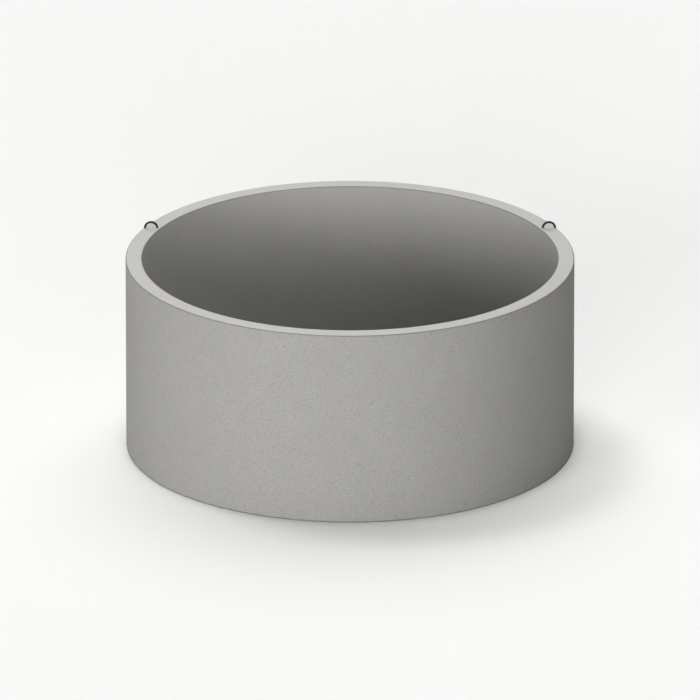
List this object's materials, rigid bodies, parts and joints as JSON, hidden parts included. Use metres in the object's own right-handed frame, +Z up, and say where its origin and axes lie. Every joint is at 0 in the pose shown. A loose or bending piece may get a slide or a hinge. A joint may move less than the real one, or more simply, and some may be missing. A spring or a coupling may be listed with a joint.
{
  "type": "concrete culvert ring",
  "caption": "Precast concrete wall ring for wells, chambers and culvert shafts: a plain round tube standing on its end, with steel lifting loops cast into the top.",
  "frame": {"origin": "centre of the bottom end, on the ring's axis, at the level it stands on", "axes": "+Z up along the ring's axis, +Y towards the side that carries the lifting loops, +X along the line between the loops"},
  "size_m": [2.7, 2.7, 1.24],
  "materials": {
    "concrete": "matte",
    "loop_steel": "matte"
  },
  "bodies": {
    "root": {"concrete_ring": "concrete", "lifting_loop_left": "loop_steel", "lifting_loop_right": "loop_steel"}
  },
  "joints": []
}
